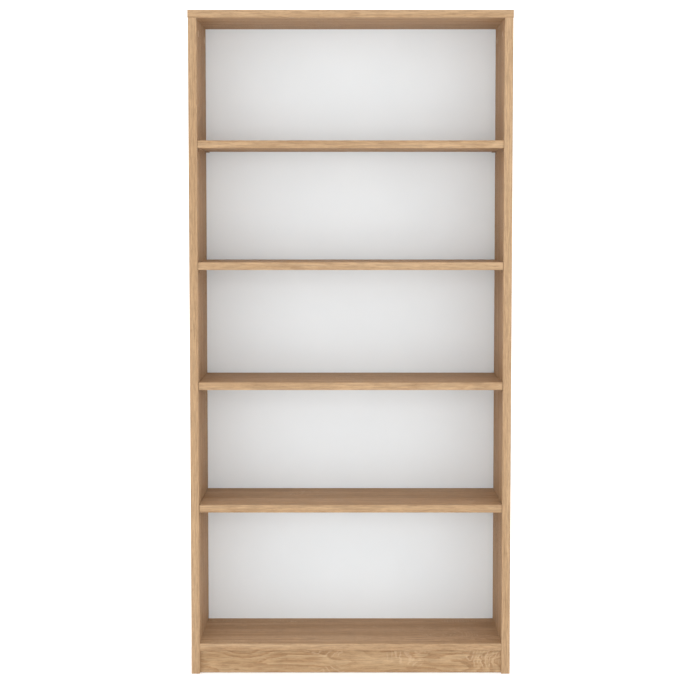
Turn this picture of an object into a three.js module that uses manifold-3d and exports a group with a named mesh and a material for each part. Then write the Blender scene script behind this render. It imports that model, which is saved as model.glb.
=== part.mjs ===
// A tall open bookcase of five compartments: an oak-faced chipboard case with a white hardboard back,
// and four shelves that each rest on four steel pins in rows of drilled holes.
// Millimetres, +Z up. X runs across the case, -Y is the open front, and the origin is on the floor at the
// middle of the footprint.
import * as THREE from "three";
import { mergeVertices } from "three/addons/utils/BufferGeometryUtils.js";
import Module from "manifold-3d";

const wasm = await Module();
wasm.setup();

// ---- driving dimensions --------------------------------------------------------------------------------

const caseWidth = 800; // over the outer faces of the side panels
const caseHeight = 1655; // floor to the upper face of the top panel
const caseDepth = 280;
const sideThickness = 21;
const boardThickness = 19; // top and shelves
const bottomThickness = 18;
const topOverhang = 1; // the top panel stands past each side panel by this much
const bottomUnderside = 59; // floor to the underside of the bottom panel

const backThickness = 3;
const backRearInset = 9; // rear edges of the case to the rear face of the back
const grooveDepth = 6.5;
const grooveSlack = 0.25; // on each face of the back
const backEdgeSlack = 0.5; // between an edge of the back and the end of its groove

const plinthThickness = 16;
const plinthSetback = 10;
const plinthLift = 1; // the case stands on its sides, so the plinth clears the floor

const shelfSetback = 2;
const shelfRearGap = 3;
const shelfEndGap = 0.5;
const shelfUndersides = [409, 717, 1016, 1317]; // floor to the underside of each shelf, lowest shelf first

const holePitch = 32;
const holesPerRow = 7; // each shelf has its own short row of holes, centred on the one it stands in
const frontHoleInset = 37; // front edge of the side panel to the front row
const rearHoleInset = 50; // rear edge of the side panel to the rear row
const pinHoleRadius = 2.7;
const pinHoleDepth = 11;

const pinStemRadius = 2.4;
const pinStemLength = 9;
const pinCollarRadius = 4;
const pinCollarThickness = 1.5;
const pinTongueReach = 12;
const pinTongueWidth = 12;
const pinTongueThickness = 3;
const pinTongueCorner = 3; // radius of the two free corners of the tongue
const pinOverlap = 0.5; // how far the stem and the tongue run into the collar

const fittingInset = 50; // front edge of a joint to its front cam, along Y
const rearFittingInset = 60; // rear edge of a joint to its rear cam, along Y
const fittingPitch = 32; // a cam to the dowel beside it
const camDistance = 34; // face that the bolt is screwed into, to the middle of the cam
const camRadius = 7.3;
const camLength = 12.5;
const camBoreRadius = 7.7;
const camBoreDepth = 14;
const boltDepth = 9.5; // face of the board that a cam is let into, to the middle of its bolt
const camSocketRadius = 2.6;
const camSocketDepth = 4;
const camSlotHalfWidth = 3.8;
const capRadius = 8.5;
const capThickness = 1.5;
const capPlugRadius = 2.1;
const capPlugLength = 3;
const boltThreadLength = 10.5;
const boltThreadRadius = 2.4;
const boltHoleRadius = 2.7;
const boltHoleDepth = 12;
const shankHoleRadius = 4.3;
const dowelRadius = 3.9;
const dowelHoleRadius = 4.3;
const dowelLength = 30;
const dowelInFace = 10; // how far a dowel goes into the face of a board
const dowelHoleSlack = 1;

// ---- places worked out from them -----------------------------------------------------------------------

const frontY = -caseDepth / 2;
const rearY = caseDepth / 2;
const outerX = caseWidth / 2;
const innerX = outerX - sideThickness;
const boltX = innerX + boltDepth;
const topUnderside = caseHeight - boardThickness;
const bottomTopFace = bottomUnderside + bottomThickness;
const boltZ = bottomUnderside + boltDepth;
const backRearY = rearY - backRearInset;
const backFrontY = backRearY - backThickness;
const plinthFrontY = frontY + plinthSetback;
const plinthMiddleY = plinthFrontY + plinthThickness / 2;
const pinRowsY = { front: frontY + frontHoleInset, rear: rearY - rearHoleInset };
const fittingsY = { front: frontY + fittingInset, rear: rearY - rearFittingInset };
const dowelsY = { front: fittingsY.front + fittingPitch, rear: fittingsY.rear - fittingPitch };
const plinthDowelsZ = { lower: 16, upper: 44 };
const topCamZ = topUnderside - camDistance;
const hands = { left: -1, right: 1 };
const overcut = 5; // how far a cutter stands out of the face that it enters

// ---- colours and finishes ------------------------------------------------------------------------------

const finish = (color, roughness, metalness = 0) =>
  new THREE.MeshStandardMaterial({ color, roughness, metalness });
const oakBoard = finish(0xc8a680, 0.55);
const whiteBack = finish(0xe2e2e1, 0.6);
const bronzedSteel = finish(0x6e563f, 0.45, 0.6);
const zinc = finish(0x9fa2a4, 0.45, 0.8);
const beech = finish(0xd8b98a, 0.8);
const oakPlastic = finish(0xc0995f, 0.5);

// ---- shapes --------------------------------------------------------------------------------------------

const point = (x, y, z) => new THREE.Vector3(x, y, z);
const xAxis = point(1, 0, 0);
const yAxis = point(0, 1, 0);
const zAxis = point(0, 0, 1);
const along = (start, direction, distance) => start.clone().addScaledVector(direction, distance);

// A three.js geometry as a solid that can be joined and cut.
function solidOf(geometry) {
  const bare = new THREE.BufferGeometry();
  const flat = geometry.index ? geometry.toNonIndexed() : geometry;
  bare.setAttribute("position", flat.getAttribute("position"));
  const merged = mergeVertices(bare, 1e-4);
  const mesh = new wasm.Mesh({
    numProp: 3,
    vertProperties: merged.attributes.position.array,
    triVerts: new Uint32Array(merged.index.array),
  });
  return new wasm.Manifold(mesh);
}

// A block between two opposite corners.
function block(a, b) {
  const size = b.clone().sub(a);
  const geometry = new THREE.BoxGeometry(Math.abs(size.x), Math.abs(size.y), Math.abs(size.z));
  const middle = a.clone().add(b).multiplyScalar(0.5);
  return solidOf(geometry.translate(middle.x, middle.y, middle.z));
}

// A turned piece: its profile is [radius, distance] pairs from axis to axis, and the axis runs from start.
function turned(profile, start, direction, sides) {
  const outline = profile.map(([radius, distance]) => new THREE.Vector2(radius, distance));
  const geometry = new THREE.LatheGeometry(outline, sides);
  geometry.applyQuaternion(new THREE.Quaternion().setFromUnitVectors(yAxis, direction));
  return solidOf(geometry.translate(start.x, start.y, start.z));
}

// A round rod or hole from start, length long.
function rod(radius, start, direction, length, sides = 12) {
  const profile = [[0, 0], [radius, 0], [radius, length], [0, length]];
  return turned(profile, start, direction, sides);
}

// A blind hole drilled into a face, as the solid to cut away.
function drilled(radius, face, inward, holeDepth, sides = 12) {
  return rod(radius, along(face, inward, -overcut), inward, holeDepth + overcut, sides);
}

const cutAll = (body, cutters) => cutters.reduce((left, cutter) => left.subtract(cutter), body);

const bookcase = new THREE.Group();

function addPiece(name, body, material) {
  const { vertProperties, triVerts } = body.getMesh();
  const geometry = new THREE.BufferGeometry();
  geometry.setAttribute("position", new THREE.BufferAttribute(vertProperties, 3));
  geometry.setIndex(new THREE.BufferAttribute(triVerts, 1));
  geometry.computeVertexNormals();
  const mesh = new THREE.Mesh(geometry, material);
  mesh.name = name;
  bookcase.add(mesh);
}

// ---- where the fittings go -----------------------------------------------------------------------------
// Each of the four corner joints holds two cams and two dowels. A joint's face is where its two boards meet,
// and each entry says where the fitting crosses it and which way the drilled end runs.

const cornerJoints = [];
for (const [side, hand] of Object.entries(hands)) {
  const inwards = point(-hand, 0, 0);
  for (const place of ["front", "rear"]) {
    cornerJoints.push({
      name: `top_{}_${place}_${side}`,
      isTop: true,
      hand,
      boltAt: point(hand * boltX, fittingsY[place], topUnderside),
      dowelAt: point(hand * boltX, dowelsY[place], topUnderside),
      intoEdge: zAxis.clone().negate(),
      camFace: point(hand * innerX, fittingsY[place], topCamZ),
      camInward: point(hand, 0, 0),
    });
    cornerJoints.push({
      name: `bottom_{}_${place}_${side}`,
      isTop: false,
      hand,
      boltAt: point(hand * innerX, fittingsY[place], boltZ),
      dowelAt: point(hand * innerX, dowelsY[place], boltZ),
      intoEdge: inwards,
      camFace: point(hand * (innerX - camDistance), fittingsY[place], bottomUnderside),
      camInward: zAxis.clone(),
    });
  }
}

// The holes of one joint in the board whose edge is drilled, which is also the one that holds the cam.
function edgeHoles(joint) {
  return [
    drilled(shankHoleRadius, joint.boltAt, joint.intoEdge, camDistance),
    drilled(dowelHoleRadius, joint.dowelAt, joint.intoEdge, dowelLength - dowelInFace + dowelHoleSlack),
    drilled(camBoreRadius, joint.camFace, joint.camInward, camBoreDepth, 16),
  ];
}

// The holes of one joint in the board whose face is drilled.
function faceHoles(joint) {
  const intoFace = joint.intoEdge.clone().negate();
  return [
    drilled(boltHoleRadius, joint.boltAt, intoFace, boltHoleDepth, 8),
    drilled(dowelHoleRadius, joint.dowelAt, intoFace, dowelInFace + dowelHoleSlack),
  ];
}

const plinthDowels = [];
for (const [side, hand] of Object.entries(hands)) {
  for (const [place, z] of Object.entries(plinthDowelsZ)) {
    const at = point(hand * innerX, plinthMiddleY, z);
    plinthDowels.push({ name: `plinth_dowel_${place}_${side}`, hand, at });
  }
}

// ---- side panels ---------------------------------------------------------------------------------------

// Height of the middle of a pin hole, counted in steps up or down from the hole that the shelf stands in.
const pinHoleZ = (underside, step) => underside - pinCollarRadius + step * holePitch;

function sidePanel(hand) {
  const board = block(point(hand * innerX, frontY, 0), point(hand * outerX, rearY, topUnderside));
  const groove = block(
    point(hand * (innerX - overcut), backFrontY - grooveSlack, -overcut),
    point(hand * (innerX + grooveDepth), backRearY + grooveSlack, topUnderside + overcut),
  );
  const outwards = point(hand, 0, 0);
  const reach = (holesPerRow - 1) / 2;
  const pinHoles = [];
  for (const underside of shelfUndersides) {
    for (const y of Object.values(pinRowsY)) {
      for (let step = -reach; step <= reach; step += 1) {
        const mouth = point(hand * innerX, y, pinHoleZ(underside, step));
        pinHoles.push(drilled(pinHoleRadius, mouth, outwards, pinHoleDepth, 8));
      }
    }
  }
  const mine = cornerJoints.filter((joint) => joint.hand === hand);
  const jointHoles = mine.flatMap((joint) => (joint.isTop ? edgeHoles(joint) : faceHoles(joint)));
  const plinthHoles = plinthDowels
    .filter((dowel) => dowel.hand === hand)
    .map((dowel) => drilled(dowelHoleRadius, dowel.at, outwards, dowelInFace + dowelHoleSlack));
  return cutAll(board, [groove, ...pinHoles, ...jointHoles, ...plinthHoles]);
}

addPiece("left_side_panel", sidePanel(hands.left), oakBoard);
addPiece("right_side_panel", sidePanel(hands.right), oakBoard);

// ---- top, bottom, plinth and back ----------------------------------------------------------------------

const topX = outerX + topOverhang;
const topBoard = block(point(-topX, frontY, topUnderside), point(topX, rearY, caseHeight));
const topGroove = block(
  point(-innerX - grooveDepth, backFrontY - grooveSlack, topUnderside - overcut),
  point(innerX + grooveDepth, backRearY + grooveSlack, topUnderside + grooveDepth),
);
const topHoles = cornerJoints.filter((joint) => joint.isTop).flatMap(faceHoles);
addPiece("top_panel", cutAll(topBoard, [topGroove, ...topHoles]), oakBoard);

const bottomBoard = block(point(-innerX, frontY, bottomUnderside), point(innerX, backFrontY, bottomTopFace));
const bottomHoles = cornerJoints.filter((joint) => !joint.isTop).flatMap(edgeHoles);
addPiece("bottom_panel", cutAll(bottomBoard, bottomHoles), oakBoard);

const plinthBoard = block(
  point(-innerX, plinthFrontY, plinthLift),
  point(innerX, plinthFrontY + plinthThickness, bottomUnderside),
);
const plinthHoles = plinthDowels.map((dowel) =>
  drilled(dowelHoleRadius, dowel.at, point(-dowel.hand, 0, 0), dowelLength - dowelInFace + dowelHoleSlack),
);
addPiece("plinth", cutAll(plinthBoard, plinthHoles), oakBoard);

// The back stands in the grooves of the sides and the top, and covers the rear edge of the bottom panel.
const backX = innerX + grooveDepth - backEdgeSlack;
const back = block(
  point(-backX, backFrontY, bottomUnderside),
  point(backX, backRearY, topUnderside + grooveDepth - backEdgeSlack),
);
addPiece("back_panel", back, whiteBack);

// ---- cams, bolts, caps and dowels ----------------------------------------------------------------------

// Thread, collar, shank, neck and head, counted from the face that the bolt is screwed into.
const boltProfile = [
  [0, -boltThreadLength],
  [boltThreadRadius, -boltThreadLength],
  [boltThreadRadius, 0],
  [3.5, 0],
  [3.5, 1.5],
  [2.6, 1.5],
  [1.9, camDistance - 4],
  [1.9, camDistance - 2],
  [3.3, camDistance - 1],
  [3.3, camDistance + 1.5],
  [2.2, camDistance + 3],
  [0, camDistance + 3],
];

// A round cam, slotted on the side where the head of its bolt comes in and socketed for the screwdriver.
function cam(joint) {
  const towardsBolt = joint.intoEdge.clone().negate();
  const axis = joint.camInward;
  const slotEnd = along(joint.camFace, axis, camLength + overcut);
  const slotStart = along(joint.camFace, axis, boltDepth - camSlotHalfWidth);
  const slot = block(
    along(along(slotStart, towardsBolt, -camSlotHalfWidth), yAxis, -camSlotHalfWidth),
    along(along(slotEnd, towardsBolt, camRadius + overcut), yAxis, camSlotHalfWidth),
  );
  const body = rod(camRadius, joint.camFace, axis, camLength, 16);
  return cutAll(body, [slot, drilled(camSocketRadius, joint.camFace, axis, camSocketDepth, 10)]);
}

for (const joint of cornerJoints) {
  const named = (kind) => joint.name.replace("{}", kind);
  const dowelStart = along(joint.dowelAt, joint.intoEdge, -dowelInFace);
  addPiece(named("cam"), cam(joint), zinc);
  addPiece(named("cam_bolt"), turned(boltProfile, joint.boltAt, joint.intoEdge, 10), zinc);
  addPiece(named("dowel"), rod(dowelRadius, dowelStart, joint.intoEdge, dowelLength), beech);
  if (joint.isTop) {
    const intoCase = joint.camInward.clone().negate();
    const disc = rod(capRadius, joint.camFace, intoCase, capThickness, 16);
    const plug = rod(capPlugRadius, along(joint.camFace, intoCase, capThickness / 2), joint.camInward,
      capThickness / 2 + capPlugLength, 10);
    addPiece(named("cam_cap"), disc.add(plug), oakPlastic);
  }
}

for (const dowel of plinthDowels) {
  const start = along(dowel.at, xAxis, dowel.hand * dowelInFace);
  addPiece(dowel.name, rod(dowelRadius, start, point(-dowel.hand, 0, 0), dowelLength), beech);
}

// ---- shelves and their pins ----------------------------------------------------------------------------

// A bronzed steel pin: a round stem in the side panel, a collar against its face, and a flat tongue that the
// shelf lies on.
function shelfPin(hand, y, underside) {
  const inwards = point(-hand, 0, 0);
  const mouth = point(hand * innerX, y, pinHoleZ(underside, 0));
  const stemEnd = along(mouth, inwards, -pinStemLength);
  const stem = rod(pinStemRadius, stemEnd, inwards, pinStemLength + pinOverlap, 10);
  const collar = rod(pinCollarRadius, mouth, inwards, pinCollarThickness);
  const outline = new THREE.Shape();
  const half = pinTongueWidth / 2;
  const corner = pinTongueCorner;
  const root = pinCollarThickness - pinOverlap;
  outline.moveTo(root, -half);
  outline.lineTo(pinTongueReach - corner, -half);
  outline.absarc(pinTongueReach - corner, -half + corner, corner, -Math.PI / 2, 0, false);
  outline.absarc(pinTongueReach - corner, half - corner, corner, 0, Math.PI / 2, false);
  outline.lineTo(root, half);
  const tongueShape = new THREE.ExtrudeGeometry(outline, {
    depth: pinTongueThickness,
    bevelEnabled: false,
    curveSegments: 3,
  });
  if (hand > 0) {
    tongueShape.rotateZ(Math.PI);
  }
  tongueShape.translate(hand * innerX, y, underside - pinTongueThickness);
  return stem.add(collar).add(solidOf(tongueShape));
}

shelfUndersides.forEach((underside, index) => {
  const name = `shelf_${index + 1}`;
  const shelfX = innerX - shelfEndGap;
  const board = block(
    point(-shelfX, frontY + shelfSetback, underside),
    point(shelfX, backFrontY - shelfRearGap, underside + boardThickness),
  );
  addPiece(name, board, oakBoard);
  for (const [place, y] of Object.entries(pinRowsY)) {
    for (const [side, hand] of Object.entries(hands)) {
      addPiece(`${name}_pin_${place}_${side}`, shelfPin(hand, y, underside), bronzedSteel);
    }
  }
});

export default bookcase;
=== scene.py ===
import math

import bpy
from mathutils import Matrix, Vector


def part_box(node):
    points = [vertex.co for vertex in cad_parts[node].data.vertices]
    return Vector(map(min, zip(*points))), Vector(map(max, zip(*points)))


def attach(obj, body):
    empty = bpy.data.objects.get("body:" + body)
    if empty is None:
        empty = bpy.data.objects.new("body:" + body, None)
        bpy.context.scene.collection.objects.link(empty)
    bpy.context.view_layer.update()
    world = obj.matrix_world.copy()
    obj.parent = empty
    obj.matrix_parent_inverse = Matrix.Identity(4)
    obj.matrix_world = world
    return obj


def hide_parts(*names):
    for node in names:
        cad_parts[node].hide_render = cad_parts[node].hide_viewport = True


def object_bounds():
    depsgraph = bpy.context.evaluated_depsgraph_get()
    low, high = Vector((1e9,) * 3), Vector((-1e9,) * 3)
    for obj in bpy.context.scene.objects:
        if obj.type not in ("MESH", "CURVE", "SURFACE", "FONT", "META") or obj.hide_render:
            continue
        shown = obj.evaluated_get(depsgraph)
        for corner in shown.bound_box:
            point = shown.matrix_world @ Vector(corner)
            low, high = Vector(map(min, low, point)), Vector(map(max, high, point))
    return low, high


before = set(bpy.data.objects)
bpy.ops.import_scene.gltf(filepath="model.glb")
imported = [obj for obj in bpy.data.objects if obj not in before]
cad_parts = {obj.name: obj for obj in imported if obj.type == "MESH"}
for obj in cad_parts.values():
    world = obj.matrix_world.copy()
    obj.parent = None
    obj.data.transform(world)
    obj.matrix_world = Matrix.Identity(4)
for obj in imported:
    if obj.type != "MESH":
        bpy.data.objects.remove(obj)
cad_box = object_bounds()

# ---- the studio ----------------------------------------------------------------------------------------
# A white floor and room with soft light from the front, as a catalogue picture has. The camera stands a third
# of a metre above the middle of the case, and looks down only slightly, so that the sides of the case stay
# nearly upright in the picture.

scene = bpy.context.scene
scene.view_settings.view_transform = "Standard"

world = bpy.data.worlds.new("white_room")
scene.world = world
world.use_nodes = True
sky = world.node_tree.nodes["Background"]
sky.inputs["Color"].default_value = (1, 1, 1, 1)
sky.inputs["Strength"].default_value = 1.4

bpy.ops.object.select_all(action="DESELECT")
bpy.ops.mesh.primitive_plane_add(size=40)
floor = bpy.context.object
floor.name = "floor"
floor_paint = bpy.data.materials.new("floor_paint")
floor_paint.use_nodes = True
floor_shader = floor_paint.node_tree.nodes["Principled BSDF"]
floor_shader.inputs["Base Color"].default_value = (0.9, 0.9, 0.9, 1)
floor_shader.inputs["Roughness"].default_value = 0.9
floor_shader.inputs["Emission Color"].default_value = (1, 1, 1, 1)
floor_shader.inputs["Emission Strength"].default_value = 0.25
floor.data.materials.append(floor_paint)

front_y = cad_box[0].y

softbox = bpy.data.objects.new("softbox", bpy.data.lights.new("softbox", "AREA"))
scene.collection.objects.link(softbox)
softbox.data.shape = "RECTANGLE"
softbox.data.size = 1.6
softbox.data.size_y = 1.6
softbox.data.energy = 31
softbox.location = (0, front_y - 4.6, 1.2)
softbox_target = Vector((0, 0, 0.8))
softbox.rotation_euler = (softbox_target - softbox.location).to_track_quat("-Z", "Y").to_euler()

camera_distance = 4.204  # in front of the front edges
camera_height = 1.157
camera_tilt = math.radians(3.674)
camera = bpy.data.objects.new("camera", bpy.data.cameras.new("camera"))
scene.collection.objects.link(camera)
camera.location = (0, front_y - camera_distance, camera_height)
camera.rotation_euler = (math.radians(90) - camera_tilt, 0, 0)
camera.data.lens = 87.26
camera.data.shift_x = -0.0009
camera.data.shift_y = -0.04
scene.camera = camera

# ---- side panels ---------------------------------------------------------------------------------------
# Chipboard faced with oak-print melamine, grain upright, and a 1 mm plastic band over the front edge. The
# holes for the shelf pins are drilled in short rows, and a groove near the rear edge holds the back. Cams
# and dowels join them to the top and the bottom, and dowels to the plinth.

X, Y, Z = range(3)
BAND = 0.001  # thickness of the edging on every oak board
BAND_ROUNDING = 0.0007  # of the arrises round its outer face
ARRIS = 0.00015  # how far the sharp edges of a sawn board are eased
SAME_PLACE = 1e-5  # two levels no further apart than this are one


def start_piece(piece, name):
    """Names a fresh primitive and puts its place into its mesh."""
    piece.name = name
    piece.data.name = name
    bpy.ops.object.transform_apply(location=True, rotation=True, scale=True)
    return piece


def block(name, corner, opposite):
    """A block between two opposite corners, given either way round."""
    low, high = Vector(map(min, corner, opposite)), Vector(map(max, corner, opposite))
    bpy.ops.object.select_all(action="DESELECT")
    bpy.ops.mesh.primitive_cube_add(size=1, location=(low + high) / 2, scale=high - low)
    return start_piece(bpy.context.object, name)


AXIS_TURNS = {"X": (0, math.radians(90), 0), "Z": (0, 0, 0)}


def rod(name, axis, centre, radius, length, sides=24):
    """A round bar along the X or the Z axis, about its centre."""
    bpy.ops.object.select_all(action="DESELECT")
    bpy.ops.mesh.primitive_cylinder_add(
        vertices=sides, radius=radius, depth=length, location=centre, rotation=AXIS_TURNS[axis]
    )
    return start_piece(bpy.context.object, name)


def work_on(piece):
    """Makes a piece the only selected and the active one."""
    bpy.ops.object.select_all(action="DESELECT")
    piece.select_set(True)
    bpy.context.view_layer.objects.active = piece


def open_with_edges(piece, wanted):
    """Opens a piece in edit mode with only those edges selected whose two ends are wanted."""
    work_on(piece)
    bpy.ops.object.mode_set(mode="EDIT")
    bpy.ops.mesh.select_mode(type="EDGE")
    bpy.ops.mesh.select_all(action="DESELECT")
    bpy.ops.object.mode_set(mode="OBJECT")
    points = piece.data.vertices
    for edge in piece.data.edges:
        edge.select = all(wanted(points[i].co) for i in edge.vertices)
    bpy.ops.object.mode_set(mode="EDIT")


def ease(piece, radius, segments, wanted=lambda point: True):
    """Rounds the wanted edges of a piece."""
    open_with_edges(piece, wanted)
    bpy.ops.mesh.bevel(offset=radius, segments=segments, affect="EDGES")
    bpy.ops.object.mode_set(mode="OBJECT")


def join(pieces, name):
    """Several objects as one mesh."""
    bpy.ops.object.select_all(action="DESELECT")
    for piece in pieces:
        piece.select_set(True)
    bpy.context.view_layer.objects.active = pieces[0]
    if len(pieces) > 1:
        bpy.ops.object.join()
    pieces[0].name = name
    return pieces[0]


def shape_with(piece, tools, operation):
    """Cuts the tools out of a piece, or joins them to it, and throws the tools away."""
    tool = join(tools, "tool")
    change = piece.modifiers.new("shape", "BOOLEAN")
    change.operation = operation
    change.object = tool
    change.solver = "EXACT"
    change.use_self = True
    work_on(piece)
    bpy.ops.object.modifier_apply(modifier=change.name)
    bpy.data.objects.remove(tool)


def smooth(piece, degrees=30):
    """Smooth shading everywhere but across sharp edges."""
    work_on(piece)
    bpy.ops.object.shade_smooth_by_angle(angle=math.radians(degrees))


def put(piece, body, node=None):
    """The piece rides on a body, and may stand for a CAD node, which it then hides."""
    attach(piece, body)
    if node:
        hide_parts(node)


def new_group(name, inputs, outputs):
    """An empty node group with named sockets: floats for numbers and vectors for tuples."""
    group = bpy.data.node_groups.new(name, "ShaderNodeTree")
    kinds = {float: "NodeSocketFloat", tuple: "NodeSocketVector"}
    for label, value in inputs.items():
        socket = group.interface.new_socket(label, in_out="INPUT", socket_type=kinds[type(value)])
        socket.default_value = value
    for label, kind in outputs.items():
        group.interface.new_socket(label, in_out="OUTPUT", socket_type=kinds[kind])
    group.nodes.new("NodeGroupInput").name = "in"
    group.nodes.new("NodeGroupOutput").name = "out"
    return group, group.nodes["in"].outputs, group.nodes["out"].inputs


def add_node(tree, kind, settings=None, **inputs):
    """A node with its settings and inputs. An input is a value, or another node's output to link."""
    made = tree.nodes.new(kind)
    for label, value in (settings or {}).items():
        setattr(made, label, value)
    for label, value in inputs.items():
        place = int(label[1:]) if label[0] == "i" and label[1:].isdigit() else label.replace("_", " ")
        socket = made.inputs[place]
        if isinstance(value, bpy.types.NodeSocket):
            tree.links.new(value, socket)
        else:
            socket.default_value = value
    return made


def maths(tree, operation, *values):
    """A Math node's result."""
    inputs = {f"i{i}": value for i, value in enumerate(values)}
    return add_node(tree, "ShaderNodeMath", {"operation": operation}, **inputs).outputs[0]


def vectors(tree, operation, *values):
    """A Vector Math node's vector result."""
    inputs = {f"i{i}": value for i, value in enumerate(values)}
    return add_node(tree, "ShaderNodeVectorMath", {"operation": operation}, **inputs).outputs[0]


def noise(tree, place, scale, detail=2.0, roughness=0.5):
    """The value of a noise that is 0 to 1 and mostly near a half."""
    settings = {"Scale": scale, "Detail": detail, "Roughness": roughness}
    return add_node(tree, "ShaderNodeTexNoise", Vector=place, **settings).outputs[0]


def ramp(tree, value, low, high, to_low=0.0, to_high=1.0):
    """A value eased from one range to another, and held at its ends."""
    settings = {"clamp": True, "interpolation_type": "SMOOTHSTEP"}
    made = add_node(
        tree, "ShaderNodeMapRange", settings, i0=value, i1=low, i2=high, i3=to_low, i4=to_high
    )
    return made.outputs[0]


def blend_colours(tree, amount, first, second, how="MIX"):
    """Two colours mixed by an amount."""
    settings = {"data_type": "RGBA", "blend_type": how}
    made = add_node(tree, "ShaderNodeMix", settings, i0=amount, i6=first, i7=second)
    return made.outputs[2]


# The figure of plain-sawn oak. Its first axis runs along the grain, and its second and third run across it,
# from the middle of the tree. Arcs are pale cross marks of saw and ray, in curved sheaves here and there.
oak_figure, figure_in, figure_out = new_group(
    "oak_figure",
    {"Place": (0.0, 0.0, 0.0), "Ring Width": 0.005, "Curl": 0.02, "Arc Spacing": 0.006, "Arc Cover": 0.0},
    {"Tone": float, "Rings": float, "Fibres": float, "Pores": float, "Arcs": float},
)
t = oak_figure
place = figure_in["Place"]


def grain_noise(along, across, detail=2.0, roughness=0.5):
    """Noise drawn out along the grain: how fast it changes along and across, per metre."""
    spread = vectors(oak_figure, "MULTIPLY", place, (along, across, across))
    return noise(oak_figure, spread, 1.0, detail, roughness)


def grain_cells(along, across):
    """The nearest of scattered points: distance in cells, and a random number of its own."""
    spread = vectors(oak_figure, "MULTIPLY", place, (along, across, across))
    found = add_node(oak_figure, "ShaderNodeTexVoronoi", {"feature": "F1"}, Vector=spread, Scale=1.0).outputs
    return found["Distance"], add_node(oak_figure, "ShaderNodeSeparateColor", i0=found["Color"]).outputs[0]


# Yearly rings about the pith, swayed and rippled, and pushed aside by curls.
sway = maths(t, "MULTIPLY", maths(t, "SUBTRACT", grain_noise(1.1, 5.0, 3.0), 0.5), 0.07)
ripple = maths(t, "MULTIPLY", maths(t, "SUBTRACT", grain_noise(14.0, 60.0, 2.0), 0.5), 0.009)
curl_distance, curl_kind = grain_cells(4.5, 9.0)
curl = maths(t, "EXPONENT", maths(t, "MULTIPLY", maths(t, "MULTIPLY", curl_distance, curl_distance), -11.0))
curl = maths(t, "MULTIPLY", curl, ramp(t, curl_kind, 0.35, 0.6))
off_axis = vectors(t, "MULTIPLY", place, (0.0, 1.0, 1.0))
pith_distance = add_node(t, "ShaderNodeVectorMath", {"operation": "LENGTH"}, i0=off_axis).outputs["Value"]
age = maths(t, "ADD", maths(t, "ADD", pith_distance, sway), ripple)
age = maths(t, "ADD", age, maths(t, "MULTIPLY", curl, figure_in["Curl"]))
year = maths(t, "FRACT", maths(t, "DIVIDE", age, figure_in["Ring Width"]))
early_wood = maths(t, "MULTIPLY", ramp(t, year, 0.0, 0.15), ramp(t, year, 0.15, 0.9, 1.0, 0.0))
ring_strength = ramp(t, grain_noise(3.0, 12.0), 0.35, 0.6, 0.25, 1.0)

# Tone in broad bands and narrow streaks, fibres, pores as short dashes, and a few pin knots.
bands = ramp(t, grain_noise(0.7, 34.0, 1.0), 0.46, 0.54)
streaks = ramp(t, grain_noise(1.6, 70.0, 4.0, 0.6), 0.3, 0.7)
tone = maths(t, "ADD", maths(t, "MULTIPLY", bands, 0.35), maths(t, "MULTIPLY", streaks, 0.65))
fibres = grain_noise(22.0, 300.0, 4.0, 0.7)
dashes = grain_noise(75.0, 2300.0, 1.0)
pore_edge = maths(t, "SUBTRACT", 0.66, maths(t, "MULTIPLY", early_wood, 0.06))
pores = ramp(t, maths(t, "SUBTRACT", dashes, pore_edge), 0.0, 0.05)
knot_distance, knot_kind = grain_cells(5.0, 12.0)
knots = maths(t, "MULTIPLY", ramp(t, knot_distance, 0.022, 0.008), ramp(t, knot_kind, 0.8, 0.82))

# Arcs as waves about scattered points, wobbly and broken, and only inside the sheaves.
arc_centre_distance = grain_cells(6.0, 8.0)[0]
wobble = maths(t, "MULTIPLY", grain_noise(40.0, 40.0), 0.02)
bent = maths(t, "ADD", maths(t, "MULTIPLY", arc_centre_distance, 0.14), wobble)
wave_angle = maths(t, "DIVIDE", maths(t, "MULTIPLY", bent, math.tau), figure_in["Arc Spacing"])
crests = ramp(t, maths(t, "SINE", wave_angle), 0.1, 1.0)
broken = ramp(t, grain_noise(45.0, 90.0), 0.34, 0.56, 0.15, 1.0)
sheaf = ramp(t, maths(t, "ADD", grain_noise(6.0, 15.0, 1.0), figure_in["Arc Cover"]), 0.54, 0.62)

for label, value in {
    "Tone": tone,
    "Rings": maths(t, "MULTIPLY", early_wood, ring_strength),
    "Fibres": fibres,
    "Pores": maths(t, "MAXIMUM", pores, knots),
    "Arcs": maths(t, "MULTIPLY", maths(t, "MULTIPLY", crests, broken), sheaf),
}.items():
    oak_figure.links.new(value, figure_out[label])

# A mask of the outermost millimetre or so along sharp edges, broken up as rubbed edges are. It marks wear,
# and on the oak also a painted highlight.
edge_wear_and_highlight, edge_mask_in, edge_mask_out = new_group(
    "edge_wear_and_highlight", {"Place": (0.0, 0.0, 0.0), "Reach": 0.001, "Patchiness": 0.5}, {"Mask": float}
)
t = edge_wear_and_highlight
rounded = add_node(t, "ShaderNodeBevel", {"samples": 6}, Radius=edge_mask_in["Reach"]).outputs[0]
true_face = add_node(t, "ShaderNodeNewGeometry").outputs["True Normal"]
facing = add_node(t, "ShaderNodeVectorMath", {"operation": "DOT_PRODUCT"}, i0=rounded, i1=true_face)
near_edge = ramp(t, facing.outputs["Value"], 0.995, 0.8)
patches = ramp(t, noise(t, edge_mask_in["Place"], 45.0, 3.0), 0.35, 0.65)
spared = maths(t, "MULTIPLY", edge_mask_in["Patchiness"], maths(t, "SUBTRACT", 1.0, patches))
worn_and_highlit_edge = maths(t, "MULTIPLY", near_edge, maths(t, "SUBTRACT", 1.0, spared))
edge_wear_and_highlight.links.new(worn_and_highlit_edge, edge_mask_out["Mask"])


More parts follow.
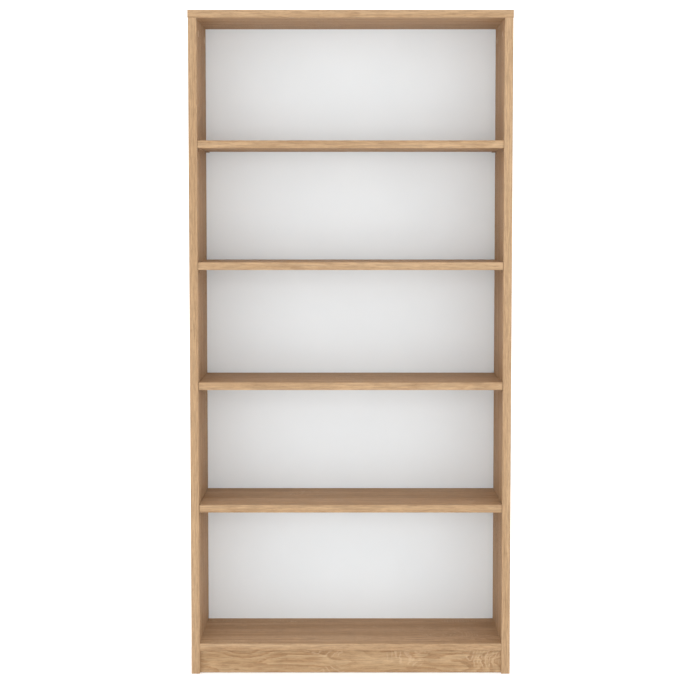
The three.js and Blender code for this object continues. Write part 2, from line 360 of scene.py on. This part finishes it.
def new_material(name):
    """A fresh material, its node tree, its shader and the piece's own coordinates."""
    material = bpy.data.materials.new(name)
    material.use_nodes = True
    tree = material.node_tree
    spot = add_node(tree, "ShaderNodeTexCoord").outputs["Object"]
    return material, tree, tree.nodes["Principled BSDF"], spot


def wear_and_highlight_edges(tree, spot, reach, patchiness):
    """The mask of the rubbed edges in a material: wear, and on the oak a painted highlight too."""
    sizes = {"Reach": reach, "Patchiness": patchiness}
    return add_node(tree, "ShaderNodeGroup", {"node_tree": edge_wear_and_highlight}, Place=spot, **sizes).outputs["Mask"]


def emboss(tree, shader, height, strength, distance):
    """Fine relief on a shader."""
    relief = add_node(tree, "ShaderNodeBump", Strength=strength, Distance=distance, Height=height)
    tree.links.new(relief.outputs[0], shader.inputs["Normal"])


GRAIN_TURNS = {  # turns that bring the grain to the first axis and the width of the face to the second
    "upright face": (0, math.radians(90), 0),
    "upright edge": (math.radians(90), 0, math.radians(90)),
    "level face": (0, 0, 0),
    "end edge": (0, 0, math.radians(90)),
    "level edge": (math.radians(-90), 0, 0),
}
OAK_RING = (0.253, 0.136, 0.064, 1)
OAK_PORE = (0.141, 0.070, 0.031, 1)
OAK_FLECK = (0.563, 0.412, 0.268, 1)
# The tone runs between mid and pale, less far where the contrast is low. Fibres, rings and arcs say how
# strongly each of them shows. A curl pushes the rings aside, and a higher arc cover widens the sheaves.
FOIL_PRINT = {
    "pale": (0.481, 0.312, 0.181, 1), "mid": (0.380, 0.229, 0.120, 1), "contrast": 1.0, "fibres": 0.2,
    "rings": 0.35, "ring_width": 0.005, "curl": 0.02,
    "arcs": 0.4, "arc_spacing": 0.006, "arc_cover": 0.0,
}
EDGING_PRINT = {
    "pale": (0.442, 0.304, 0.184, 1), "mid": (0.345, 0.219, 0.119, 1), "contrast": 0.7, "fibres": 0.2,
    "rings": 0.25, "ring_width": 0.004, "curl": 0.0,
    "arcs": 0.0, "arc_spacing": 0.006, "arc_cover": 0.0,
}


def oak_print(name, grain, shift, look=FOIL_PRINT):
    """Oak-print melamine or edging, its figure taken from its own part of the tree."""
    material, tree, shader, spot = new_material(name)
    turn = {"Rotation": GRAIN_TURNS[grain], "Location": shift}
    laid = add_node(tree, "ShaderNodeMapping", Vector=spot, **turn).outputs[0]
    print_sizes = {"Ring_Width": look["ring_width"], "Curl": look["curl"]}
    print_sizes.update(Arc_Spacing=look["arc_spacing"], Arc_Cover=look["arc_cover"])
    figure = add_node(tree, "ShaderNodeGroup", {"node_tree": oak_figure}, Place=laid, **print_sizes).outputs
    contrast = look["contrast"]
    tone = maths(tree, "MULTIPLY_ADD", figure["Tone"], contrast, (1 - contrast) / 2)
    colour = blend_colours(tree, tone, look["mid"], look["pale"])
    colour = blend_colours(tree, maths(tree, "MULTIPLY", figure["Rings"], look["rings"]), colour, OAK_RING)
    light = ramp(tree, figure["Fibres"], 0.3, 0.7, 1 - look["fibres"], 1 + look["fibres"])
    grey = add_node(tree, "ShaderNodeCombineColor", i0=light, i1=light, i2=light).outputs[0]
    colour = blend_colours(tree, 1.0, colour, grey, "MULTIPLY")
    colour = blend_colours(tree, maths(tree, "MULTIPLY", figure["Arcs"], look["arcs"]), colour, OAK_FLECK)
    colour = blend_colours(tree, maths(tree, "MULTIPLY", figure["Pores"], 0.55), colour, OAK_PORE)
    # Pale sharp edges: wear, and a painted highlight where the eased arrises catch light.
    pale_edge_wear_and_highlight = maths(tree, "MULTIPLY", wear_and_highlight_edges(tree, spot, 0.0012, 0.6), 0.3)
    colour = blend_colours(tree, pale_edge_wear_and_highlight, colour, OAK_FLECK)
    tree.links.new(colour, shader.inputs["Base Color"])
    rough = ramp(tree, figure["Fibres"], 0.3, 0.7, 0.55, 0.68)
    rough = maths(tree, "ADD", rough, maths(tree, "MULTIPLY", figure["Pores"], 0.2))
    tree.links.new(rough, shader.inputs["Roughness"])
    height = maths(tree, "SUBTRACT", maths(tree, "MULTIPLY", figure["Fibres"], 0.35), figure["Pores"])
    height = maths(tree, "SUBTRACT", height, maths(tree, "MULTIPLY", figure["Rings"], 0.3))
    emboss(tree, shader, height, 0.35, 0.0002)
    shader.inputs["Specular IOR Level"].default_value = 0.1
    return material


# Raw chipboard, as it shows in holes, in grooves and on the edges that have no edging.
chipboard, t, shader, spot = new_material("chipboard")
drift = add_node(t, "ShaderNodeTexNoise", Vector=spot, Scale=300.0, Detail=2.0).outputs["Color"]
warped = vectors(t, "ADD", spot, vectors(t, "MULTIPLY", drift, (0.003, 0.003, 0.003)))
chips = add_node(t, "ShaderNodeTexVoronoi", {"feature": "F1"}, Vector=warped, Scale=620.0).outputs
chip_tone = ramp(t, add_node(t, "ShaderNodeSeparateColor", i0=chips["Color"]).outputs[0], 0.0, 1.0)
chip_gap = ramp(t, chips["Distance"], 0.3, 0.75)
chip_colour = blend_colours(t, chip_tone, (0.30, 0.19, 0.10, 1), (0.62, 0.46, 0.29, 1))
chip_colour = blend_colours(t, chip_gap, chip_colour, (0.16, 0.10, 0.055, 1))
t.links.new(chip_colour, shader.inputs["Base Color"])
t.links.new(ramp(t, chip_tone, 0.0, 1.0, 0.95, 0.8), shader.inputs["Roughness"])
emboss(t, shader, maths(t, "SUBTRACT", chip_tone, chip_gap), 0.6, 0.0004)


def face_board(board, foil, way, low, high):
    """Foil on the two broad faces of a board, across the way it is thin, and raw chipboard on the rest."""
    board.data.materials.clear()
    board.data.materials.append(foil)
    board.data.materials.append(chipboard)
    for face in board.data.polygons:
        level = face.center[way]
        outside = min(abs(level - low[way]), abs(level - high[way])) < SAME_PLACE
        face.material_index = 0 if outside and abs(face.normal[way]) > 0.99 else 1


def oak_board(name, low, high, way, foil, cutters=()):
    """A board that is thin one way: sawn to size, eased, cut for its fittings, and faced with foil."""
    board = block(name, low, high)
    ease(board, ARRIS, 1)
    if cutters:
        shape_with(board, cutters, "DIFFERENCE")
    face_board(board, foil, way, low, high)
    smooth(board)
    return board


def edge_band(name, low, high, way, outer, edging):
    """A plastic band on an edge of a board, its outer face being at a level along one way."""
    strip = block(name, low, high)
    ease(strip, BAND_ROUNDING, 4, lambda point: abs(point[way] - outer) < SAME_PLACE)
    strip.data.materials.append(edging)
    smooth(strip)
    return strip


OVERRUN = 0.004  # how far a cutter stands out of the board
HOLE_PITCH = 0.032
PIN_HOLE_RADIUS = 0.0026
PIN_HOLE_DEPTH = 0.011
PIN_HOLE_STEPS = range(-3, 4)  # the holes of a row, counted from the one that holds the pin
FITTING_HOLES = {  # radius, room past each end of the fitting, and facets
    "cam": (0.0075, 0.0015, 32),
    "shank": (0.0036, 0.0005, 24),
    "thread": (0.0025, 0.0005, 24),
    "dowel": (0.0041, 0.001, 24),
}
GROOVE_DEPTH = 0.0065
GROOVE_PLAY = 0.0002  # between the back and each wall of its groove
back_low, back_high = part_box("back_panel")
hands = {"left": -1, "right": 1}


def pocket(axis, node, kind):
    """The hole for a cam, for the shank or the thread of its bolt, or for a dowel, where that node lies."""
    radius, room, sides = FITTING_HOLES[kind]
    low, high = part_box(node)
    length = high["XYZ".index(axis)] - low["XYZ".index(axis)]
    return rod("hole", axis, (low + high) / 2, radius, length + 2 * room, sides)


side_figures = {"left": (0.31, 0.045, -0.33), "right": (5.2, -0.02, 0.46)}
for side, hand in hands.items():
    low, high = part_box(f"{side}_side_panel")
    inner_x = low.x if hand > 0 else high.x
    groove = block(
        "groove",
        (inner_x - hand * OVERRUN, back_low.y - GROOVE_PLAY, low.z - OVERRUN),
        (inner_x + hand * GROOVE_DEPTH, back_high.y + GROOVE_PLAY, high.z + OVERRUN),
    )
    cutters = [groove]
    hole_x = inner_x + hand * (PIN_HOLE_DEPTH - OVERRUN) / 2
    for number in range(1, 5):
        for place_name in ("front", "rear"):
            pin_low, pin_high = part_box(f"shelf_{number}_pin_{place_name}_{side}")
            pin = (pin_low + pin_high) / 2
            for step in PIN_HOLE_STEPS:
                centre = (hole_x, pin.y, pin.z + step * HOLE_PITCH)
                cutters.append(rod("hole", "X", centre, PIN_HOLE_RADIUS, PIN_HOLE_DEPTH + OVERRUN))
    for place_name in ("front", "rear"):
        ending = f"{place_name}_{side}"
        cutters += [
            pocket("X", f"top_cam_{ending}", "cam"),
            pocket("Z", f"top_cam_bolt_{ending}", "shank"),
            pocket("Z", f"top_dowel_{ending}", "dowel"),
            pocket("X", f"bottom_cam_bolt_{ending}", "thread"),
            pocket("X", f"bottom_dowel_{ending}", "dowel"),
        ]
    for level in ("lower", "upper"):
        cutters.append(pocket("X", f"plinth_dowel_{level}_{side}", "dowel"))
    foil = oak_print(f"oak_foil_{side}_side", "upright face", side_figures[side])
    board = oak_board(f"{side}_side_board", (low.x, low.y + BAND, low.z), high, X, foil, cutters)
    put(board, "carcass", f"{side}_side_panel")

    edging = oak_print(f"oak_edging_{side}_side", "upright edge", (hand * 2.3, 0.09, 0.12), EDGING_PRINT)
    strip = edge_band(f"{side}_side_edging", low, (high.x, low.y + BAND, high.z), Y, low.y, edging)
    put(strip, "carcass")

# ---- top panel -----------------------------------------------------------------------------------------
# The same faced chipboard, lying over both sides and standing 1 mm past each. It has edging at the front
# and at both ends, and the cams in the sides pull it down.

GROOVE_END_ROOM = 0.0005  # past each end of the back
low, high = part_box("top_panel")
groove = block(
    "groove",
    (back_low.x - GROOVE_END_ROOM, back_low.y - GROOVE_PLAY, low.z - OVERRUN),
    (back_high.x + GROOVE_END_ROOM, back_high.y + GROOVE_PLAY, low.z + GROOVE_DEPTH),
)
cutters = [groove]
for side in hands:
    for place_name in ("front", "rear"):
        cutters.append(pocket("Z", f"top_cam_bolt_{place_name}_{side}", "thread"))
        cutters.append(pocket("Z", f"top_dowel_{place_name}_{side}", "dowel"))
foil = oak_print("oak_foil_top", "level face", (1.7, -0.03, -1.60))
board_low = (low.x + BAND, low.y + BAND, low.z)
board_high = (high.x - BAND, high.y, high.z)
board = oak_board("top_board", board_low, board_high, Z, foil, cutters)
put(board, "carcass", "top_panel")

edging = oak_print("oak_edging_top", "level edge", (3.1, -1.57, 0.3), EDGING_PRINT)
strip = edge_band("top_front_edging", low, (high.x, low.y + BAND, high.z), Y, low.y, edging)
put(strip, "carcass")
for side, hand in hands.items():
    outer_x = low.x if hand < 0 else high.x
    outer_corner = (outer_x, low.y + BAND, low.z)
    inner_corner = (outer_x - hand * BAND, high.y, high.z)
    edging = oak_print(f"oak_edging_top_{side}", "end edge", (0.4 * hand, 0.2, -1.5), EDGING_PRINT)
    strip = edge_band(f"top_{side}_edging", outer_corner, inner_corner, X, outer_x, edging)
    put(strip, "carcass")

# ---- bottom panel --------------------------------------------------------------------------------------
# Faced chipboard between the sides, edged at the front. Its cams are let in from below, and its rear edge
# stops at the back, which is nailed to it.

low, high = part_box("bottom_panel")
cutters = []
for side in hands:
    for place_name in ("front", "rear"):
        ending = f"{place_name}_{side}"
        cutters += [
            pocket("Z", f"bottom_cam_{ending}", "cam"),
            pocket("X", f"bottom_cam_bolt_{ending}", "shank"),
            pocket("X", f"bottom_dowel_{ending}", "dowel"),
        ]
foil = oak_print("oak_foil_bottom", "level face", (0.85, 0.13, 0.033))
board = oak_board("bottom_board", (low.x, low.y + BAND, low.z), high, Z, foil, cutters)
put(board, "carcass", "bottom_panel")

edging = oak_print("oak_bottom_edging", "level edge", (9.0, 0.02, 0.3), EDGING_PRINT)
strip = edge_band("bottom_edging", low, (high.x, low.y + BAND, high.z), Y, low.y, edging)
put(strip, "carcass")

# ---- plinth --------------------------------------------------------------------------------------------
# A strip of the same board on edge under the bottom panel, set back from the front. Its foil is from a
# lively piece of the oak print, with curls and arcs. Dowels hold its ends in the sides.

PLINTH_PRINT = {
    "pale": (0.432, 0.297, 0.172, 1), "mid": (0.342, 0.218, 0.114, 1), "contrast": 0.9, "fibres": 0.18,
    "rings": 0.55, "ring_width": 0.0045, "curl": 0.03,
    "arcs": 0.45, "arc_spacing": 0.0075, "arc_cover": 0.03,
}
low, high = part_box("plinth")
cutters = [
    pocket("X", f"plinth_dowel_{level}_{side}", "dowel") for side in hands for level in ("lower", "upper")
]
foil = oak_print("oak_foil_plinth", "level edge", (-0.445, -0.043, -0.25), PLINTH_PRINT)
board = oak_board("plinth_board", low, high, Y, foil, cutters)
put(board, "carcass", "plinth")

# ---- back ----------------------------------------------------------------------------------------------
# One sheet of 3 mm hardboard in the grooves of the sides and the top: white foil towards the room and bare
# brown fibre behind. Steel nails hold its lower edge to the bottom panel.

WHITE_SKIN = 0.0004  # how deep the white reaches from the front of the sheet
hardboard, t, shader, spot = new_material("white_faced_hardboard")
depth = add_node(t, "ShaderNodeSeparateXYZ", Vector=spot).outputs["Y"]
is_rear = ramp(t, depth, back_low.y + WHITE_SKIN, back_low.y + 1.5 * WHITE_SKIN)
orange_peel = noise(t, spot, 700.0, 2.0)
cloud = ramp(t, noise(t, spot, 5.0, 3.0), 0.3, 0.7)
white = blend_colours(t, cloud, (0.835, 0.905, 0.955, 1), (0.855, 0.925, 0.975, 1))
clumps = noise(t, spot, 420.0, 4.0, 0.7)
blotches = maths(t, "MULTIPLY", noise(t, spot, 12.0, 3.0), 0.15)
mottle = ramp(t, maths(t, "ADD", blotches, maths(t, "MULTIPLY", clumps, 0.85)), 0.35, 0.65)
brown = blend_colours(t, mottle, (0.26, 0.16, 0.092, 1), (0.345, 0.225, 0.135, 1))
fibre_noise = noise(t, vectors(t, "MULTIPLY", spot, (500.0, 500.0, 1400.0)), 1.0, 2.0)
fibre_specks = maths(t, "MULTIPLY", ramp(t, fibre_noise, 0.62, 0.7), 0.4)
brown = blend_colours(t, fibre_specks, brown, (0.47, 0.33, 0.21, 1))
t.links.new(blend_colours(t, is_rear, white, brown), shader.inputs["Base Color"])
t.links.new(ramp(t, is_rear, 0.0, 1.0, 0.5, 0.85), shader.inputs["Roughness"])
sheet_relief = maths(t, "ADD", maths(t, "MULTIPLY", orange_peel, 0.15), maths(t, "MULTIPLY", clumps, is_rear))
emboss(t, shader, sheet_relief, 0.4, 0.0003)
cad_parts["back_panel"].data.materials.clear()
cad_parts["back_panel"].data.materials.append(hardboard)


def metal(name, colour, roughness, spread, wear_colour, cloud_scale, metallic=1.0):
    """Plated steel: even colour, a roughness that wanders a little, and brighter rubbed edges."""
    material, tree, shader, spot = new_material(name)
    clouds = noise(tree, spot, cloud_scale, 4.0, 0.6)
    scratches = noise(tree, vectors(tree, "MULTIPLY", spot, (900.0, 5200.0, 900.0)), 1.0, 2.0)
    darker = tuple(0.8 * part for part in colour[:3]) + (1,)
    base = blend_colours(tree, ramp(tree, clouds, 0.3, 0.7), darker, colour)
    base = blend_colours(tree, wear_and_highlight_edges(tree, spot, 0.0004, 0.4), base, wear_colour)
    tree.links.new(base, shader.inputs["Base Color"])
    tree.links.new(ramp(tree, clouds, 0.3, 0.7, roughness, roughness + spread), shader.inputs["Roughness"])
    shader.inputs["Metallic"].default_value = metallic
    emboss(tree, shader, scratches, 0.15, 0.00005)
    return material


zinc = metal("zinc_plate", (0.60, 0.61, 0.62, 1), 0.32, 0.2, (0.85, 0.86, 0.87, 1), 260.0)


def turned(name, profile, sides=32):
    """A turned piece standing on the origin, from (radius, height) pairs, both ends closed by a flat."""
    radius, height = profile[0]
    bpy.ops.object.select_all(action="DESELECT")
    bpy.ops.mesh.primitive_circle_add(
        vertices=sides, radius=radius, fill_type="NGON", location=(0, 0, height)
    )
    piece = start_piece(bpy.context.object, name)
    bpy.ops.object.mode_set(mode="EDIT")
    bpy.ops.mesh.select_all(action="SELECT")
    for next_radius, next_height in profile[1:]:
        bpy.ops.mesh.extrude_region_move(TRANSFORM_OT_translate={"value": (0, 0, next_height - height)})
        growth = next_radius / radius
        bpy.ops.transform.resize(value=(growth, growth, 1), center_override=(0, 0, next_height))
        radius, height = next_radius, next_height
    bpy.ops.mesh.select_all(action="SELECT")
    bpy.ops.mesh.normals_make_consistent(inside=False)
    bpy.ops.object.mode_set(mode="OBJECT")
    return piece


def aim(piece, direction, start):
    """Turns an upright piece to a direction and moves its foot to a place."""
    work_on(piece)
    piece.rotation_euler = Vector((0, 0, 1)).rotation_difference(Vector(direction)).to_euler()
    piece.location = start
    bpy.ops.object.transform_apply(location=True, rotation=True, scale=True)


def copy_of(master, name, steps, half_turn_about=None):
    """A copy with its own mesh, moved by steps. It may be turned half way round an upright line first."""
    piece = master.copy()
    piece.data = master.data.copy()
    piece.name = name
    piece.data.name = name
    scene.collection.objects.link(piece)
    if half_turn_about is not None:
        around = Matrix.Translation(half_turn_about)
        piece.data.transform(around @ Matrix.Rotation(math.pi, 4, "Z") @ around.inverted())
    piece.data.transform(Matrix.Translation(steps))
    return piece


NAILS = 8
NAIL_LENGTH = 0.02
NAIL_INSET = 0.04  # from each end of the bottom panel
nail_profile = [
    (0.0002, 0), (0.0007, 0.002), (0.0007, NAIL_LENGTH - 0.0002),
    (0.0024, NAIL_LENGTH), (0.0025, NAIL_LENGTH + 0.0003), (0.0021, NAIL_LENGTH + 0.0007),
]
bottom_low, bottom_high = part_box("bottom_panel")
nail_level = (bottom_low.z + bottom_high.z) / 2
nail = turned("back_nail_1", nail_profile, 20)
aim(nail, (0, 1, 0), (bottom_low.x + NAIL_INSET, back_high.y - NAIL_LENGTH, nail_level))
nail.data.materials.append(zinc)
smooth(nail)
spacing = (bottom_high.x - bottom_low.x - 2 * NAIL_INSET) / (NAILS - 1)
for number in range(2, NAILS + 1):
    put(copy_of(nail, f"back_nail_{number}", (spacing * (number - 1), 0, 0)), "carcass")
put(nail, "carcass")

# ---- cams and their bolts ------------------------------------------------------------------------------
# Die-cast cams, 15 mm across, with a cross recess on top and a slot that takes the head of the bolt. The
# bolts are zinc-plated steel, screwed into the board that meets the cam's. Rings stand for their thread.

CAM_FOOT_RADIUS = 0.0068
cam_profile = [(0.0066, 0), (0.0073, 0.0007), (0.0073, 0.0118)]  # from the face with the recess
SLOT_START = 0.0055  # behind that face
SLOT_HALF_WIDTH = 0.0038
SLOT_REACH = 0.009  # from the middle of the cam, through its wall
SLOT_OVERRUN = 0.002  # past the foot of the cam
CROSS_ARM = 0.0028
CROSS_HALF_WIDTH = 0.0006
CROSS_DEPTH = 0.003


def middle(node):
    """The middle of a node's box."""
    low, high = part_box(node)
    return (low + high) / 2


def cam_at(name, node, direction, towards_bolt):
    """A cam whose recess end is at one end of its node's box, its slot open towards the bolt."""
    low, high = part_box(node)
    direction, towards_bolt = Vector(direction), Vector(towards_bolt)
    side_way = direction.cross(towards_bolt)
    length = abs((high - low).dot(direction))
    face = middle(node) - direction * length / 2
    piece = turned(name, cam_profile + [(CAM_FOOT_RADIUS, length)], 48)
    aim(piece, direction, face)
    slot_near = face + direction * SLOT_START - (towards_bolt + side_way) * SLOT_HALF_WIDTH
    slot_far = face + direction * (length + SLOT_OVERRUN)
    slot_far += towards_bolt * SLOT_REACH + side_way * SLOT_HALF_WIDTH
    tools = [block("slot", slot_near, slot_far)]
    for arm, cross_way in ((towards_bolt, side_way), (side_way, towards_bolt)):
        half = arm * CROSS_ARM + cross_way * CROSS_HALF_WIDTH + direction * CROSS_DEPTH
        tools.append(block("recess", face - half, face + half))
    shape_with(piece, tools, "DIFFERENCE")
    piece.data.materials.clear()
    piece.data.materials.append(zinc)
    smooth(piece)
    return piece


THREAD_LENGTH = 0.0105
THREAD_PITCH = 0.0015
THREAD_TURNS = 6
bolt_profile = [(0.0014, -THREAD_LENGTH)]
for turn in range(THREAD_TURNS):
    crest_height = 0.0005 - THREAD_LENGTH + turn * THREAD_PITCH
    bolt_profile += [(0.0024, crest_height), (0.0017, crest_height + 0.0008)]
bolt_profile += [  # flange, shank, then the neck and head that the cam grips
    (0.0024, 0), (0.0034, 0.0001), (0.0035, 0.0004), (0.0035, 0.0013), (0.0033, 0.0015),
    (0.0026, 0.0016), (0.0026, 0.0295),
    (0.0019, 0.0303), (0.0019, 0.0320), (0.0032, 0.0330), (0.0033, 0.0340), (0.0033, 0.0355),
    (0.0022, 0.0370),
]

fittings = {
    "top": {"cam_way": (-1, 0, 0), "bolt_way": (0, 0, -1)},
    "bottom": {"cam_way": (0, 0, 1), "bolt_way": (1, 0, 0)},
}
for level, ways in fittings.items():
    cam_node = f"{level}_cam_front_left"
    bolt_node = f"{level}_cam_bolt_front_left"
    way = Vector(ways["bolt_way"])
    cam = cam_at(f"{level}_cam_casting_front_left", cam_node, ways["cam_way"], -way)
    bolt = turned(f"{level}_bolt_front_left", bolt_profile, 24)
    bolt_low, bolt_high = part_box(bolt_node)
    bolt_length = abs((bolt_high - bolt_low).dot(way))
    aim(bolt, way, middle(bolt_node) - way * (bolt_length / 2 - THREAD_LENGTH))
    bolt.data.materials.append(zinc)
    smooth(bolt)
    for ending in ("front_right", "rear_left", "rear_right"):
        for master, kind, node in ((cam, "cam_casting", "cam"), (bolt, "bolt", "cam_bolt")):
            home = middle(f"{level}_{node}_front_left")
            there = middle(f"{level}_{node}_{ending}")
            turn_about = home if "right" in ending else None
            twin = copy_of(master, f"{level}_{kind}_{ending}", there - home, turn_about)
            put(twin, "carcass", f"{level}_{node}_{ending}")
    put(cam, "carcass", cam_node)
    put(bolt, "carcass", bolt_node)

# ---- dowels --------------------------------------------------------------------------------------------
# Beech dowels with chamfered ends, glued beside the cams and at the ends of the plinth. Real ones are fluted
# and 8 mm across. These are plain, 7.2 mm across and 30 mm long, and they lie out of sight in the boards.

beech, t, shader, spot = new_material("bare_beech")
beech_tone = ramp(t, noise(t, spot, 240.0, 4.0, 0.6), 0.3, 0.7)
beech_colour = blend_colours(t, beech_tone, (0.62, 0.42, 0.25, 1), (0.74, 0.55, 0.36, 1))
rays = ramp(t, noise(t, spot, 1500.0, 1.0), 0.62, 0.68)
beech_colour = blend_colours(t, maths(t, "MULTIPLY", rays, 0.5), beech_colour, (0.45, 0.27, 0.14, 1))
t.links.new(beech_colour, shader.inputs["Base Color"])
t.links.new(ramp(t, beech_tone, 0.0, 1.0, 0.8, 0.65), shader.inputs["Roughness"])
emboss(t, shader, beech_tone, 0.3, 0.0001)

DOWEL_LENGTH = 0.03
DOWEL_RADIUS = 0.003588
DOWEL_END_RADIUS = 0.002944
CHAMFER_LENGTH = 0.001
dowel_profile = [
    (DOWEL_END_RADIUS, 0), (DOWEL_RADIUS, CHAMFER_LENGTH),
    (DOWEL_RADIUS, DOWEL_LENGTH - CHAMFER_LENGTH), (DOWEL_END_RADIUS, DOWEL_LENGTH),
]


def dowel_along(direction):
    """A dowel along a direction, its middle at the origin."""
    dowel = turned("dowel", dowel_profile, 36)
    aim(dowel, direction, Vector(direction) * -DOWEL_LENGTH / 2)
    dowel.data.materials.append(beech)
    smooth(dowel, 50)
    return dowel


masters = {"upright": dowel_along((0, 0, 1)), "lying": dowel_along((1, 0, 0))}
for node in sorted(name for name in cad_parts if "dowel" in name):
    low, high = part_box(node)
    master = masters["upright" if high.z - low.z > DOWEL_LENGTH / 2 else "lying"]
    put(copy_of(master, f"fluted_{node}", (low + high) / 2), "carcass", node)
for master in masters.values():
    bpy.data.objects.remove(master)

# ---- cam caps ------------------------------------------------------------------------------------------
# Moulded caps in the colour of the oak print, each pressed into a cam that would show in the top compartment.

cap_plastic, t, shader, spot = new_material("oak_coloured_plastic")
grit = noise(t, spot, 1800.0, 2.0)
cap_colour = blend_colours(t, ramp(t, grit, 0.3, 0.7), (0.47, 0.31, 0.18, 1), (0.53, 0.355, 0.21, 1))
cap_wear = maths(t, "MULTIPLY", wear_and_highlight_edges(t, spot, 0.0005, 0.5), 0.4)
cap_colour = blend_colours(t, cap_wear, cap_colour, (0.66, 0.49, 0.32, 1))
t.links.new(cap_colour, shader.inputs["Base Color"])
t.links.new(ramp(t, grit, 0.3, 0.7, 0.42, 0.55), shader.inputs["Roughness"])
emboss(t, shader, grit, 0.2, 0.0001)

cap_profile = [  # the plug in the recess of the cam, then the domed cap
    (0.0018, 0), (0.0021, 0.0004), (0.0021, 0.003), (0.0083, 0.003), (0.0085, 0.0031), (0.0085, 0.0032),
    (0.0080, 0.0036), (0.0066, 0.0040), (0.0046, 0.0043), (0.0020, 0.0045),
]
cap_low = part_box("top_cam_cap_front_left")[0]
home = middle("top_cam_cap_front_left")
cap = turned("cap_front_left", cap_profile, 48)
aim(cap, (1, 0, 0), (cap_low.x, home.y, home.z))
cap.data.materials.append(cap_plastic)
smooth(cap)
for ending in ("front_right", "rear_left", "rear_right"):
    turn_about = home if "right" in ending else None
    twin = copy_of(cap, f"cap_{ending}", middle(f"top_cam_cap_{ending}") - home, turn_about)
    put(twin, "carcass", f"top_cam_cap_{ending}")
put(cap, "carcass", "top_cam_cap_front_left")

# ---- shelves -------------------------------------------------------------------------------------------
# Four loose boards of faced chipboard, edged at the front only. Each is half a millimetre short of the side
# at each end, so that it can be lifted off its pins and drawn out.

shelf_figures = {
    1: (2.2, 0.05, -0.42), 2: (6.1, -0.04, -0.70), 3: (8.3, 0.03, -1.05), 4: (11.7, -0.06, -1.36),
}
for number, shift in shelf_figures.items():
    body = f"shelf_{number}"
    low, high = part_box(body)
    foil = oak_print(f"oak_foil_{body}", "level face", shift)
    board = oak_board(f"{body}_board", (low.x, low.y + BAND, low.z), high, Z, foil)
    put(board, body, body)
    edging_shift = (shift[0] + 1.3, shift[2] + 0.1, 0.3)
    edging = oak_print(f"oak_{body}_edging", "level edge", edging_shift, EDGING_PRINT)
    strip = edge_band(f"{body}_edging", low, (high.x, low.y + BAND, high.z), Y, low.y, edging)
    put(strip, body)

# ---- shelf pins ----------------------------------------------------------------------------------------
# Steel pins with a bronze-brown plating: a round stem for the 5 mm hole, a collar that meets the side panel,
# and a flat tongue that the shelf lies on. The four under a shelf move together when its height is changed.

bronze = metal("bronze_plate", (0.30, 0.19, 0.11, 1), 0.5, 0.15, (0.42, 0.29, 0.19, 1), 320.0, 0.45)
TONGUE_START = 0.01  # from the foot of the stem, inside the collar
TONGUE_THICKNESS = 0.003
TONGUE_ROUNDING = 0.0014
pin_profile = [
    (0.0016, 0), (0.0022, 0.0004), (0.0024, 0.001), (0.0024, 0.009),
    (0.0037, 0.009), (0.004, 0.0093), (0.004, 0.0102), (0.0037, 0.0105),
]
pin_low, pin_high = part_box("shelf_1_pin_front_left")
home = middle("shelf_1_pin_front_left")
pin = turned("pin", pin_profile, 32)
aim(pin, (1, 0, 0), (pin_low.x, home.y, home.z))
tongue_corner = (pin_low.x + TONGUE_START, pin_low.y, pin_high.z - TONGUE_THICKNESS)
tongue = block("tongue", tongue_corner, pin_high)
ease(tongue, TONGUE_ROUNDING, 4, lambda point: point.x > pin_high.x - SAME_PLACE)
shape_with(pin, [tongue], "UNION")
pin.data.materials.clear()
pin.data.materials.append(bronze)
smooth(pin)
for number in range(1, 5):
    for place_name in ("front", "rear"):
        for side in hands:
            node = f"shelf_{number}_pin_{place_name}_{side}"
            turn_about = home if side == "right" else None
            twin = copy_of(pin, f"steel_{node}", middle(node) - home, turn_about)
            put(twin, f"shelf_{number}_pins", node)
bpy.data.objects.remove(pin)
